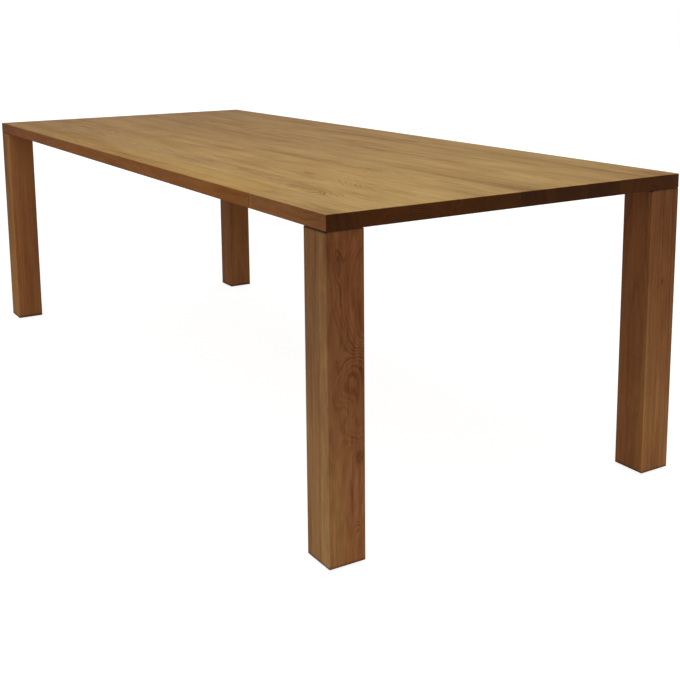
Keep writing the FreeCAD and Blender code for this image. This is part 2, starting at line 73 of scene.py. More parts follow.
# %% Camera
PICTURE_SIDE = 680
SENSOR_WIDTH = 36
EYE = Vector((2.9978, -1.5778, 1.1320))
BEARING, HEIGHT_ANGLE, ROLL = (math.radians(angle) for angle in (59.0703, 9.6479, -0.6215))
FOCAL_PIXELS = 1088.61
OPTICAL_CENTRE = (325.30, 204.33)


def into_scene(name, data):
    made = bpy.data.objects.new(name, data)
    bpy.context.scene.collection.objects.link(made)
    return made


back = Vector((math.sin(BEARING) * math.cos(HEIGHT_ANGLE),
               -math.cos(BEARING) * math.cos(HEIGHT_ANGLE), math.sin(HEIGHT_ANGLE)))
level_right = Vector((0, 0, 1)).cross(back).normalized()
level_up = back.cross(level_right)
right = math.cos(ROLL) * level_right + math.sin(ROLL) * level_up
upward = math.cos(ROLL) * level_up - math.sin(ROLL) * level_right

lens = bpy.data.cameras.new("camera")
lens.sensor_width = SENSOR_WIDTH
lens.lens = FOCAL_PIXELS / PICTURE_SIDE * SENSOR_WIDTH
lens.shift_x = (PICTURE_SIDE / 2 - OPTICAL_CENTRE[0]) / PICTURE_SIDE
lens.shift_y = (OPTICAL_CENTRE[1] - PICTURE_SIDE / 2) / PICTURE_SIDE
camera = into_scene("camera", lens)
camera.matrix_world = Matrix.Translation(EYE) @ Matrix((right, upward, back)).transposed().to_4x4()
bpy.context.scene.camera = camera
bpy.context.scene.view_settings.view_transform = "Standard"
print("camera:", round(lens.lens, 2), "mm lens, shift", round(lens.shift_x, 4), round(lens.shift_y, 4))

# %% [markdown]
# ## Small helpers for node trees
#
# A material is a graph, and in a script a graph gets long quickly. These helpers add one node, join
# whatever it is given to its inputs, and hand back the output, so that a pattern reads almost like a
# formula. The first few do sums on numbers and places.

# %% Helpers for node trees: numbers and places
def feed(tree, node, inputs):
    """Join each value that is an output to a node's input, and set the others."""
    for key, value in dict(inputs).items():
        if isinstance(value, bpy.types.NodeSocket):
            tree.links.new(value, node.inputs[key])
        else:
            node.inputs[key].default_value = value


def add(tree, kind, inputs=(), **settings):
    made = tree.nodes.new(kind)
    for name, value in settings.items():
        setattr(made, name, value)
    feed(tree, made, inputs)
    return made


def calc(tree, operation, first, second=0.0, clamp=False):
    values = {0: first, 1: second}
    return add(tree, "ShaderNodeMath", values, operation=operation, use_clamp=clamp).outputs[0]


def plus(tree, first, *others):
    for other in others:
        first = calc(tree, "ADD", first, other)
    return first


def times(tree, first, *others):
    for other in others:
        first = calc(tree, "MULTIPLY", first, other)
    return first


def minus(tree, first, second, clamp=False):
    return calc(tree, "SUBTRACT", first, second, clamp)


def vector(tree, operation, first, second=(0.0, 0.0, 0.0)):
    made = add(tree, "ShaderNodeVectorMath", {0: first, 1: second}, operation=operation)
    return made.outputs["Value" if operation in ("LENGTH", "DOT_PRODUCT") else "Vector"]


def axes_of(tree, place):
    return add(tree, "ShaderNodeSeparateXYZ", {0: place}).outputs


def point(tree, x, y, z):
    return add(tree, "ShaderNodeCombineXYZ", {0: x, 1: y, 2: z}).outputs[0]


print("helpers for numbers and places: ready")

# %% [markdown]
# The others make patterns and colours. A cloud is a noise that can be stretched along each axis, with
# slow or fine swings, and "between" turns a value into a soft step: that makes spots of a cloud.

# %% Helpers for node trees: patterns, colours and new trees
SLOW, FINE = (1.0, 0.4), (3.0, 0.6)
MIDDLE = 0.5


def cloud(tree, place, stretch, detail=2.0, roughness=0.5, output="Fac"):
    stretched = vector(tree, "MULTIPLY", place, stretch)
    settings = {"Vector": stretched, "Scale": 1.0, "Detail": detail, "Roughness": roughness}
    return add(tree, "ShaderNodeTexNoise", settings).outputs[output]


def centred(tree, colour):
    return vector(tree, "SUBTRACT", colour, (MIDDLE, MIDDLE, MIDDLE))


def between(tree, value, low, high, to_low=0.0, to_high=1.0):
    limits = {"Value": value, 1: low, 2: high, 3: to_low, 4: to_high}
    return add(tree, "ShaderNodeMapRange", limits, interpolation_type="SMOOTHSTEP").outputs[0]


def mix(tree, share, first, second, way="MIX"):
    inputs = {0: share, 6: first, 7: second}
    return add(tree, "ShaderNodeMix", inputs, data_type="RGBA", blend_type=way).outputs[2]


def ramp(tree, value, stops):
    made = add(tree, "ShaderNodeValToRGB", {"Fac": value})
    elements = made.color_ramp.elements
    while len(elements) < len(stops):
        elements.new(1.0)
    for element, (position, level) in zip(elements, stops):
        element.position, element.color = position, (level, level, level, 1.0)
    return made.outputs["Color"]


def new_group(name, inputs, outputs, tree_kind="ShaderNodeTree"):
    group = bpy.data.node_groups.new(name, tree_kind)
    for in_out, sockets in (("INPUT", inputs), ("OUTPUT", outputs)):
        for socket, kind in sockets.items():
            group.interface.new_socket(name=socket, in_out=in_out, socket_type="NodeSocket" + kind)
    return group, group.nodes.new("NodeGroupInput").outputs, group.nodes.new("NodeGroupOutput")


def new_material(name):
    """A new material, its tree and surface, and each point's place in the object's frame."""
    material = bpy.data.materials.new(name)
    material.use_nodes = True
    tree = material.node_tree
    place = add(tree, "ShaderNodeTexCoord").outputs["Object"]
    return material, tree, tree.nodes["Principled BSDF"], place


def rgb(red, green, blue):
    """A colour as a picture shows it, from 0 to 255, as the linear colour that nodes use."""
    def linear(level):
        share = level / 255
        return share / 12.92 if share <= 0.04045 else ((share + 0.055) / 1.055) ** 2.4
    return (linear(red), linear(green), linear(blue), 1.0)


print("helpers for patterns and colours: ready")

# %% [markdown]
# ## Oak, as a tree grows it
#
# Oak boards show growth rings. On a face cut near the middle of the log they make long pointed arches,
# on an edge straight lines, and on an end grain short arcs. A stretched noise can imitate one of these
# faces, but then the edges and ends don't belong to it. So this group rebuilds the log: each board knows
# where the pith, the middle of the log, lies beside it, and the distance from the pith gives the rings on
# every face at once. A group is made once and used by every board with other inputs.

# %% Oak group
OAK_INPUTS = {
    "Board": "Vector", "Seed": "Vector", "Pith": "Vector", "Grain axis": "Vector", "Face axis": "Vector",
    "Ring width": "Float", "Wander": "Float", "Wave": "Float", "Figure": "Float", "Knot": "Float",
    "Shade": "Float", "Warmth": "Float", "Contrast": "Float", "Streak": "Float", "Line": "Float",
    "Mottle": "Float", "Mottle stretch": "Vector", "Dash": "Float", "Pale": "Color", "Deep": "Color",
    "End": "Color", "Side": "Color"}
OAK_OUTPUTS = {"Color": "Color", "Roughness": "Float", "Height": "Float"}
oak, given, result = new_group("oak", OAK_INPUTS, OAK_OUTPUTS)
print("oak group:", len(OAK_INPUTS), "inputs")

# %% [markdown]
# ### Rings
#
# The pith drifts slowly along the board, which draws the arches, and the rings are uneven, so two finer
# clouds shift them. Each ring starts with a porous band of early wood and fades into dense late wood.

# %% Oak: rings round a wandering pith
SWAY_STRETCH, SWAY_REACH = (2.6, 9.0, 9.0), (0.0, 0.02, 0.02)
DRIFT_STRETCH = (1.3, 1.0, 1.0)
ALONG, ACROSS = (1.0, 0.0, 0.0), (0.0, 1.0, 1.0)
WOBBLE_STRETCH, RIPPLE_STRETCH, RIPPLE = (6.0, 34.0, 34.0), (30.0, 80.0, 80.0), 0.7
RING_PROFILE = ((0.0, 0.0), (0.2, 1.0), (0.5, 0.6), (0.75, 0.05), (1.0, 0.0))
RING_MOOD_SCALE, RING_MOOD = 0.37, (0.25, 0.75, 0.2, 1.0)


def swing(value, amount):
    """A cloud's value about its middle, as strong as the amount says."""
    return times(oak, minus(oak, value, MIDDLE), amount)


place = vector(oak, "ADD", given["Board"], given["Seed"])
sway = centred(oak, cloud(oak, place, SWAY_STRETCH, *SLOW, "Color"))
place = vector(oak, "ADD", place, vector(oak, "MULTIPLY", sway, SWAY_REACH))
pattern = partial(cloud, oak, place)
along = vector(oak, "MULTIPLY", place, ALONG)
drift = centred(oak, cloud(oak, along, DRIFT_STRETCH, *SLOW, "Color"))
wander = {0: drift, "Scale": given["Wander"]}
drift = add(oak, "ShaderNodeVectorMath", wander, operation="SCALE").outputs[0]
across = vector(oak, "ADD", vector(oak, "SUBTRACT", given["Board"], given["Pith"]), drift)
across = vector(oak, "MULTIPLY", across, ACROSS)
radius = vector(oak, "LENGTH", across)
wobble = swing(pattern(WOBBLE_STRETCH), given["Wave"])
ripple = swing(pattern(RIPPLE_STRETCH), RIPPLE)
ring_count = calc(oak, "DIVIDE", radius, given["Ring width"])
phase = plus(oak, ring_count, plus(oak, wobble, ripple, given["Figure"]))
early = ramp(oak, calc(oak, "FRACT", phase), RING_PROFILE)
mood_inputs = {"W": phase, "Scale": RING_MOOD_SCALE, "Detail": 1.0}
ring_mood = add(oak, "ShaderNodeTexNoise", mood_inputs, noise_dimensions="1D").outputs["Fac"]
early = times(oak, early, between(oak, ring_mood, *RING_MOOD))
print("oak: rings made,", len(oak.nodes), "nodes so far")

# %% [markdown]
# ### Pores, rays and clouds of tone
#
# Oak's early wood is full of open pores, which drink the oil and show as fine dark dashes. Its rays are
# thin sheets that run outwards from the pith, and they flash as pale flecks where a face cuts along them.
# Fibres, lines, streaks and patches are clouds of other sizes, stretched along the grain. All are added
# up to one number, the tone, from pale to deep.

# %% Oak: pores, rays, fibres and tone
RAY_STRETCH, RAY_TURN = (30.0, 800.0, 55.0), 0.1
PORE_STRETCH, FIBRE_STRETCH = (90.0, 2300.0, 2300.0), (16.0, 620.0, 620.0)
STREAK_STRETCH, PATCH_STRETCH = (1.1, 24.0, 24.0), (1.7, 10.0, 10.0)
LINE_STRETCH, DASH_STRETCH = (2.6, 110.0, 110.0), (22.0, 240.0, 240.0)
RAY_EDGE, PORE_EDGE, DASH_EDGE = (0.6, 0.72), (0.56, 0.68), (0.58, 0.78)
EARLY_PORES, LATE_PORES = 0.85, 0.15
BASE_TONE, PORE_TONE, RAY_TONE, FIBRE_TONE = 0.32, 0.35, 0.12, 0.5

sides = axes_of(oak, across)
round_pith = times(oak, calc(oak, "ARCTAN2", sides["Z"], sides["Y"]), RAY_TURN)
sheet = point(oak, axes_of(oak, place)["X"], round_pith, radius)
ray = between(oak, cloud(oak, sheet, RAY_STRETCH, detail=1.0), *RAY_EDGE)
pore_share = plus(oak, times(oak, early, EARLY_PORES), LATE_PORES)
pore = times(oak, between(oak, pattern(PORE_STRETCH, detail=1.0), *PORE_EDGE), pore_share)
fibre, line = pattern(FIBRE_STRETCH, *FINE), pattern(LINE_STRETCH, *FINE)
mottle = pattern(given["Mottle stretch"], *FINE)
streak, patch = pattern(STREAK_STRETCH), pattern(PATCH_STRETCH)
dash = between(oak, pattern(DASH_STRETCH), *DASH_EDGE)
lively = plus(oak, early, swing(fibre, FIBRE_TONE))
tone = plus(oak, swing(streak, given["Streak"]), swing(patch, given["Streak"]),
            swing(mottle, given["Mottle"]), swing(line, given["Line"]),
            times(oak, lively, given["Contrast"]), times(oak, dash, given["Dash"]),
            times(oak, pore, PORE_TONE), given["Shade"], BASE_TONE)
tone = minus(oak, tone, times(oak, ray, RAY_TONE), clamp=True)
print("oak: tone made,", len(oak.nodes), "nodes so far")

# %% [markdown]
# ### Colour, shine and relief
#
# The tone picks a colour between pale and deep. Edges and end grain have tints of their own, found from
# the way a face is turned. End grain is darker. The tint of the edges is partly the wood's own redder
# colour and partly painted light and shade that set how bright those sides look. Eased edges get a
# painted highlight where they face up or sideways, and painted shade where they face the floor. Pores
# are sunk and dull.

# %% Oak: colour, shine and relief
OILY, OILY_PATCH = (0.97, 0.89, 0.78, 1.0), (0.42, 0.66, 0.0, 0.6)
WARM, UNTINTED = (0.0, -0.13, -0.1), (1.0, 1.0, 1.0)
# Tints for a painted highlight on eased edges that face up or sideways, and for painted shade on those that
# face the floor.
ARRIS_HIGHLIGHT, HIGHLIGHT_SPOTS, UNDERSIDE_SHADE = (1.2, 1.2, 1.22, 1.0), (0.3, 0.6), (0.5, 0.38, 0.25, 1.0)
END_RINGS, EARLY_END, TONE_END = (0.3, 0.26, 0.24, 1.0), 0.45, 0.6
FACE_TURN, END_TURN, ARRIS_TURN, FLOOR_TURN = (0.5, 0.9), (0.6, 0.97), (0.99, 0.85), (-0.5, -0.1)
# The dark colour of knots and joint lines, also used for the lines of painted shade at the legs' ends.
KNOT_AND_SHADE_COLOUR = rgb(58, 29, 10)
PORE_DULLNESS, FIBRE_DULLNESS = 0.12, (0.2, 0.8, 0.56, 0.68)
FIBRE_HEIGHT, EARLY_DEPTH = 0.25, 0.3
facing = add(oak, "ShaderNodeTexCoord").outputs["Normal"]


def tinted(colour, tint):
    return mix(oak, 1.0, colour, tint, "MULTIPLY")


def turned_to(axis, limits):
    """How far a face looks along an axis, either way."""
    return between(oak, calc(oak, "ABSOLUTE", vector(oak, "DOT_PRODUCT", facing, axis)), *limits)


wood = mix(oak, tone, given["Pale"], given["Deep"])
wood = mix(oak, between(oak, patch, *OILY_PATCH), wood, tinted(wood, OILY))
warm = vector(oak, "ADD", vector(oak, "MULTIPLY", given["Warmth"], WARM), UNTINTED)
wood = tinted(wood, warm)
# The side tint is partly the wood's own colour and partly painted light and shade on those sides.
wood = mix(oak, turned_to(given["Face axis"], FACE_TURN), tinted(wood, given["Side"]), wood)
end_tone = calc(oak, "ADD", times(oak, early, EARLY_END), times(oak, tone, TONE_END), clamp=True)
end_wood = mix(oak, end_tone, given["End"], tinted(given["End"], END_RINGS))
wood = mix(oak, turned_to(given["Grain axis"], END_TURN), wood, end_wood)
spread = axes_of(oak, vector(oak, "ABSOLUTE", facing))
steepest = calc(oak, "MAXIMUM", spread["X"], calc(oak, "MAXIMUM", spread["Y"], spread["Z"]))
arris = between(oak, steepest, *ARRIS_TURN)
faces_not_down = between(oak, axes_of(oak, facing)["Z"], *FLOOR_TURN)
# Painted highlight: eased edges that face up or sideways are made lighter, in soft spots.
painted_highlight = times(oak, arris, faces_not_down, between(oak, mottle, *HIGHLIGHT_SPOTS))
wood = mix(oak, painted_highlight, wood, tinted(wood, ARRIS_HIGHLIGHT))
# Painted shade: eased edges that face the floor are made darker.
painted_underside_shade = times(oak, arris, minus(oak, 1.0, faces_not_down))
wood = mix(oak, painted_underside_shade, wood, tinted(wood, UNDERSIDE_SHADE))
# Knots and the joint line take this dark colour, and so do the lines of painted shade at the legs' ends.
wood = mix(oak, calc(oak, "MINIMUM", given["Knot"], 1.0), wood, KNOT_AND_SHADE_COLOUR)
dullness = plus(oak, times(oak, pore, PORE_DULLNESS), between(oak, fibre, *FIBRE_DULLNESS))
hollow = plus(oak, pore, times(oak, early, EARLY_DEPTH))
height = minus(oak, times(oak, fibre, FIBRE_HEIGHT), hollow)
feed(oak, result, {"Color": wood, "Roughness": dullness, "Height": height})
print("oak group:", len(oak.nodes), "nodes")

# %% [markdown]
# ## One material for each board
#
# No two boards in a glued top come from the same place in the tree. Each one gets its own pith, ring
# width, tone and seed, so that the glue lines show only as a change of grain. Knots and eyes are places
# where the rings swell round a branch: a smooth bump is added to the ring count there. The same bump can
# make a place darker or paler, warmer, or livelier in its grain.

# %% Swells
UNEVEN_STRETCH, UNEVEN_REACH = (14.0, 40.0, 40.0), (0.022, 0.014, 0.014)
KNOT_AND_SHADE_STEEPNESS = 5.0
Swell = namedtuple("Swell", "place reach rings knot shade warmth lively steep",
                   defaults=(0.0, 0.0, 0.0, 0.0, 0.0, 1.0))
RIGHT_ACROSS, THROUGH = 1.0, 0.03


def band(along, reach, **amounts):
    """A swell that goes right across a board, at a place along it."""
    return Swell((along, 0.0, 0.0), (reach, RIGHT_ACROSS, RIGHT_ACROSS), **amounts)


def mark(along, across, long, wide, deep=THROUGH, level=0.0, **amounts):
    """A swell on a face of a board: where it lies along and across, and how far it reaches."""
    return Swell((along, across, level), (long, wide, deep), **amounts)


def swell_sums(tree, board, swells):
    """What a board's swells add: rings, the colour of knots and of painted shade lines, shade, warmth,
    liveliness.
    """
    sums = dict.fromkeys(("rings", "knot", "shade", "warmth", "lively"), 0.0)
    shift = centred(tree, cloud(tree, board, UNEVEN_STRETCH, detail=1.0, output="Color"))
    uneven = vector(tree, "ADD", board, vector(tree, "MULTIPLY", shift, UNEVEN_REACH))
    for swell in swells:
        measured = uneven if swell.rings else board
        offset = vector(tree, "DIVIDE", vector(tree, "SUBTRACT", measured, swell.place), swell.reach)
        away = calc(tree, "POWER", vector(tree, "DOT_PRODUCT", offset, offset), swell.steep)
        amount = calc(tree, "EXPONENT", times(tree, away, -1.0))
        for kind in sums:
            share = getattr(swell, kind)
            if share:
                shape = calc(tree, "POWER", amount, KNOT_AND_SHADE_STEEPNESS) if kind == "knot" else amount
                sums[kind] = plus(tree, sums[kind], times(tree, shape, share))
    return sums


print("a swell has:", ", ".join(Swell._fields))

# %% Board materials
SHEEN, DULL_SHEEN = 0.08, 0.035
GRAIN_STRENGTH, GRAIN_DEPTH = 0.35, 0.0004


def cover(tree, surface, colour, dullness, bump):
    """Lay a colour, a dullness and a fine relief on a surface."""
    relief = add(tree, "ShaderNodeBump", bump).outputs[0]
    feed(tree, surface, {"Base Color": colour, "Roughness": dullness, "Normal": relief})


def board_material(name, turn, origin, values, swells, sheen):
    """Oak for one board, in the board's own frame: x along the grain, measured from the origin."""
    material, tree, surface, place = new_material(name)
    moved = {"Vector": place, "Location": -(turn @ Vector(origin)), "Rotation": turn.to_euler()}
    board = add(tree, "ShaderNodeMapping", moved).outputs[0]
    sums = swell_sums(tree, board, swells)
    inputs = {**values, "Board": board, "Figure": sums["rings"], "Knot": sums["knot"],
              "Shade": sums["shade"], "Warmth": sums["warmth"],
              "Contrast": plus(tree, sums["lively"], values["Contrast"])}
    wood = add(tree, "ShaderNodeGroup", inputs, node_tree=oak).outputs
    bump = {"Strength": GRAIN_STRENGTH, "Distance": GRAIN_DEPTH, "Height": wood["Height"]}
    cover(tree, surface, wood["Color"], wood["Roughness"], bump)
    feed(tree, surface, {"Specular IOR Level": sheen})
    return material


def dress(name, material):
    slots = nodes[name].data.materials
    slots.clear()
    slots.append(material)


def toned(colour, tone):
    return (*(channel * tone for channel in colour[:3]), 1.0)


print("board materials: sheen", SHEEN, "or", DULL_SHEEN)

# %% [markdown]
# ## The top
#
# Ten staves of about 100 mm run the length of the top. The front one is made of two lengths with a finger
# joint. The rows below give each stave its tones and the place of its pith: a pith straight below gives
# arches, and one far to the side gives straight lines. The marks that a real top shows could be painted
# on its upper face, but then they would stop at the edges. A swell reaches into the wood instead. Its
# place is measured along the stave from the middle of the table, across it from the stave's own middle,
# and from the upper face.

# %% Rows for the staves
Stave = namedtuple("Stave", "label tone end_tone pith_across pith_down ring_width wander swells sheen",
                   defaults=((), SHEEN))
SKIN = 0.012
low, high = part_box("top_stave_1_long")
FAR_END, JOINT, NEAR_END = low.x, high.x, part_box("top_stave_1_short")[1].x
FRONT_EDGE, HALF_DOWN = (low.y - high.y) / 2, (low.z - high.z) / 2
WARM_FAR_END = band(FAR_END, 1.5, warmth=0.75)
in_edge = partial(mark, level=HALF_DOWN)
JOINT_LINE = in_edge(JOINT, FRONT_EDGE, 0.0021, 0.008, 0.04, knot=1.0)
PALE_BORDER = in_edge(NEAR_END, 0.043, 0.006, 0.014, 0.05, shade=-0.6)
STAVES = (
    Stave("1_long", 1.03, 1.0, 0.16, -0.06, 0.0044, 0.05, (
        JOINT_LINE,
        # Painted shade: the front edge is darker towards the far end, most at the end itself.
        in_edge(FAR_END, FRONT_EDGE, 0.9, 0.006, 0.05, shade=0.12),
        in_edge(FAR_END, FRONT_EDGE, 0.18, 0.006, 0.05, shade=0.28),
        mark(0.78, -0.015, 0.30, 0.03, SKIN, shade=-0.25)), DULL_SHEEN),
    Stave("1_short", 0.96, 0.85, -0.19, -0.05, 0.0046, 0.05, (
        JOINT_LINE,
        mark(1.13, 0.0, 0.06, 0.05, rings=3, shade=0.1, warmth=0.5, lively=0.3),
        in_edge(JOINT + 0.007, FRONT_EDGE, 0.005, 0.008, 0.04, shade=-0.25),
        mark(1.19, -0.03, 0.05, 0.03, shade=0.25),
        PALE_BORDER,
        mark(0.96, -0.022, 0.11, 0.014, SKIN, shade=-0.22))),
    Stave("2", 1.0, 1.08, 0.02, -0.08, 0.0046, 0.06, (
        mark(0.90, -0.01, 0.10, 0.022, rings=5, shade=0.22, lively=0.6),
        mark(1.18, -0.05, 0.05, 0.03, shade=0.2),
        mark(FAR_END, 0.0, 0.40, 0.05, shade=0.2),
        mark(0.2, 0.0, 0.35, 0.05, shade=0.1))),
    Stave("3", 1.02, 1.09, -0.03, -0.11, 0.0050, 0.06, (
        mark(0.674, 0.018, 0.030, 0.012, rings=3, knot=0.25, shade=0.22, lively=0.4),
        mark(0.967, 0.009, 0.10, 0.024, rings=5, shade=0.1, lively=0.6),
        mark(1.052, 0.032, 0.05, 0.010, rings=2, shade=0.28, lively=0.4),
        mark(1.0, 0.0, 0.10, 0.05, shade=-0.12))),
    Stave("4", 1.04, 1.06, 0.12, -0.07, 0.0040, 0.05, (
        mark(0.80, 0.0, 0.06, 0.03, rings=3, lively=0.5),
        mark(0.1, 0.0, 0.35, 0.05, shade=0.11),
        mark(1.0, 0.0, 0.10, 0.05, shade=-0.12))),
    Stave("5", 0.98, 0.95, 0.00, -0.07, 0.0052, 0.06, (
        mark(0.52, -0.016, 0.11, 0.012, rings=2, shade=0.14, lively=0.4),
        mark(0.709, -0.014, 0.07, 0.018, rings=4, shade=0.2, lively=0.5),
        mark(-0.9, 0.0, 0.40, 0.05, shade=-0.2),
        mark(1.17, 0.0, 0.05, 0.05, SKIN, shade=0.12))),
    Stave("6", 0.96, 0.75, -0.14, -0.05, 0.0044, 0.05, (
        mark(1.16, -0.020, 0.16, 0.030, rings=2, shade=0.45, warmth=0.4, lively=0.3),
        PALE_BORDER,
        mark(0.2, 0.0, 0.55, 0.05, shade=0.09))),
    Stave("7", 1.02, 0.69, 0.04, -0.10, 0.0048, 0.06, (
        PALE_BORDER,
        mark(0.10, 0.0, 0.60, 0.05, shade=0.22),
        mark(1.05, 0.0, 0.12, 0.05, shade=-0.1))),
    Stave("8", 1.00, 0.59, -0.02, -0.08, 0.0052, 0.06, (PALE_BORDER,)),
    Stave("9", 0.97, 1.08, 0.17, -0.06, 0.0042, 0.05, (
        mark(0.23, 0.032, 0.07, 0.012, rings=3, knot=0.15, shade=0.25, lively=0.4),
        mark(1.08, 0.038, 0.09, 0.016, rings=3, shade=0.35, warmth=0.6, lively=0.3),
        mark(1.18, 0.0, 0.05, 0.05, SKIN, shade=0.18))),
    Stave("10", 0.97, 0.98, -0.05, -0.09, 0.0048, 0.06, (
        PALE_BORDER,
        mark(1.17, 0.0, 0.07, 0.05, SKIN, shade=0.33, warmth=0.8))),
)
print("top:", len(STAVES), "lengths of stave, with", sum(len(stave.swells) for stave in STAVES), "swells")

# %% Dressing the staves
LEVEL = Matrix.Identity(3)
TOP_PALE, TOP_DEEP, TOP_END = rgb(178, 146, 86), rgb(122, 87, 38), rgb(97, 54, 19)
# The edges' tint is partly the wood's own redder colour and partly painted shade.
EDGE_TINT = (0.82, 0.525, 0.45, 1.0)
CALM_MOTTLE = (5.0, 28.0, 28.0)
TOP_GRAIN = {"Grain axis": (1, 0, 0), "Face axis": (0, 0, 1), "Wave": 1.6, "Contrast": 0.2, "Streak": 0.6,
             "Line": 0.15, "Mottle": 0.8, "Mottle stretch": CALM_MOTTLE, "Dash": 0.2, "Side": EDGE_TINT}
STAVE_SEED = (3.71, 1.37, 0.61)

for number, stave in enumerate(STAVES):
    name = "top_stave_" + stave.label
    low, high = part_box(name)
    origin = (0.0, (low.y + high.y) / 2, high.z)
    values = {**TOP_GRAIN, "Seed": tuple(number * step for step in STAVE_SEED),
              "Pith": (0.0, stave.pith_across, stave.pith_down),
              "Ring width": stave.ring_width, "Wander": stave.wander,
              "Pale": toned(TOP_PALE, stave.tone), "Deep": toned(TOP_DEEP, stave.tone),
              "End": toned(TOP_END, stave.end_tone)}
    swells = stave.swells + (WARM_FAR_END,)
    dress(name, board_material("oak_" + name, LEVEL, origin, values, swells, stave.sheen))
print("top:", len(STAVES), "lengths of stave dressed")

# %% [markdown]
# ## The legs
#
# Each leg is glued up from three lamellae, so two of its faces show one flat board, and the other two show
# three edges side by side. The near leg's flat board is the liveliest piece of the whole table, with an
# eye and arches, and the two far legs are quieter. A leg is a little paler towards the floor, which is
# painted light, and darker under the top, which is painted shade. A thin dark line of painted shade lies
# at its eased foot and another under the top, which is strongest on the front and back faces. A swell's
# place is measured up from the floor, then from the lamella's middle.

# %% Rows for the legs
STANDING_ACROSS_X = Matrix(((0, 0, 1), (0, 1, 0), (-1, 0, 0)))
STANDING_ACROSS_Y = Matrix(((0, 0, 1), (1, 0, 0), (0, 1, 0)))
low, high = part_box("leg_front_right_lamella_1")
LEG_FOOT, LEG_TOP = low.z, high.z
HALF_LEG, BOARD_FACE = (high.y - low.y) / 2, (low.x - high.x) / 2
LIT_TOP = mark(LEG_TOP, HALF_LEG, 0.26, 0.04, RIGHT_ACROSS, shade=-0.55)
# Every leg: warmer towards the top, painted shade under the top, painted light towards the foot, and a thin
# line of painted shade right under the top.
EVERY_LEG = (
    band(LEG_TOP, 0.50, warmth=0.35),
    band(LEG_TOP, 0.28, shade=0.18),
    band(0.0, 0.24, shade=-0.13),
    band(LEG_TOP, 0.006, knot=0.7),
)
Leg = namedtuple("Leg", "corner turn tone side lively foot_line top_line swells sheen",
                 defaults=((), SHEEN))
# A leg's tone and side tint are partly its own wood and partly painted light and shade: the three far legs
# are painted paler.
LEGS = (
    Leg("front_left", STANDING_ACROSS_Y, 1.12, (0.85, 0.93, 0.69, 1.0), 0.6, 0.018, 0.1,
        (LIT_TOP,), DULL_SHEEN),
    Leg("front_right", STANDING_ACROSS_X, 1.0, (1.02, 1.29, 1.33, 1.0), 1.0, 0.011, 1.0),
    Leg("back_right", STANDING_ACROSS_Y, 1.10, (0.91, 0.88, 0.87, 1.0), 1.0, 0.012, 1.0),
    Leg("back_left", STANDING_ACROSS_X, 1.23, (0.81, 0.76, 0.67, 1.0), 0.5, 0.018, 0.5),
)
print("legs:", len(LEGS), "of them,", round((LEG_TOP - LEG_FOOT) * 1000), "mm long")

# %% [markdown]
# ### Marks on single lamellae
#
# The eye, its arches and the small knots belong to one lamella each, so they are kept under its name. A
# swell with rings bends the grain round it, and one without only changes the tone.

# %% Marks on single lamellae
DEEP = 0.08
on_face = partial(mark, level=BOARD_FACE)
EYE_BOARD = (
    on_face(0.655, -0.018, 0.035, 0.010, rings=3.0, shade=0.2, lively=0.3),
    on_face(0.600, 0.005, 0.090, 0.040, warmth=0.5, lively=0.12),
    on_face(0.580, 0.050, 0.112, 0.070, DEEP, rings=3.5, steep=3.0),
    on_face(0.365, 0.046, 0.100, 0.068, DEEP, rings=-5.5, shade=0.06, steep=3.0),
    on_face(0.450, 0.020, 0.050, 0.055, DEEP, lively=0.5),
    on_face(0.345, -0.002, 0.034, 0.020, rings=4.0),
    on_face(0.350, 0.005, 0.040, 0.024, lively=0.25),
    on_face(0.285, 0.020, 0.014, 0.022, lively=0.3),
    on_face(0.238, 0.032, 0.020, 0.014, rings=3.0, knot=0.2, shade=0.25, lively=0.2, steep=2.0),
    on_face(0.190, 0.042, 0.030, 0.012, shade=-0.25),
    on_face(0.150, 0.013, 0.045, 0.005, shade=0.45),
    on_face(0.130, -0.028, 0.130, 0.022, shade=-0.05, warmth=-1.3),
    on_face(0.020, 0.022, 0.080, 0.022, rings=6.0, steep=3.0),
    on_face(0.083, 0.022, 0.030, 0.018, lively=0.5),
    on_face(0.615, 0.036, 0.065, 0.014, shade=-0.30),
    on_face(0.450, -0.036, 0.055, 0.014, shade=-0.25),
    on_face(0.640, -0.010, 0.025, 0.010, shade=-0.15),
    on_face(0.695, 0.012, 0.020, 0.014, shade=-0.25),
    on_face(0.085, -0.012, 0.030, 0.014, shade=0.22),
)
PALE_FOOT = mark(0.15, HALF_LEG, 0.2, 0.03, RIGHT_ACROSS, shade=-0.08, warmth=-0.8)
